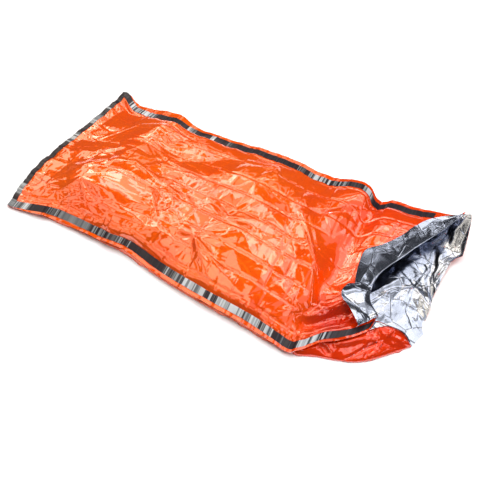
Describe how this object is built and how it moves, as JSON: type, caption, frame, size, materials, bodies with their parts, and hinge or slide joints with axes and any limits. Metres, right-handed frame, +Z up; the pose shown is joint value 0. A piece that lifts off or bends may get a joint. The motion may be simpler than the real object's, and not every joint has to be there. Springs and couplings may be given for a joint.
{
  "type": "bivy bag",
  "caption": "Emergency bivy bag of glossy orange film with a silver inside, lying puffed and creased, its mouth open and turned back, dark tape over the seams",
  "frame": {"origin": "middle of the bag's footprint, on the floor that it lies on", "axes": "+X from the foot to the open mouth, +Y from the near side to the far side, +Z up"},
  "size_m": [1.9897, 1.0022, 0.1606],
  "materials": {
    "film": "glossy creased film, silver on the inside",
    "tape": "reflective, finely wrinkled"
  },
  "bodies": {
    "root": {"upper_film": "film", "lower_film": "film", "near_seam_tape": "tape", "far_seam_tape": "tape", "foot_seam_tape": "tape"}
  },
  "joints": []
}
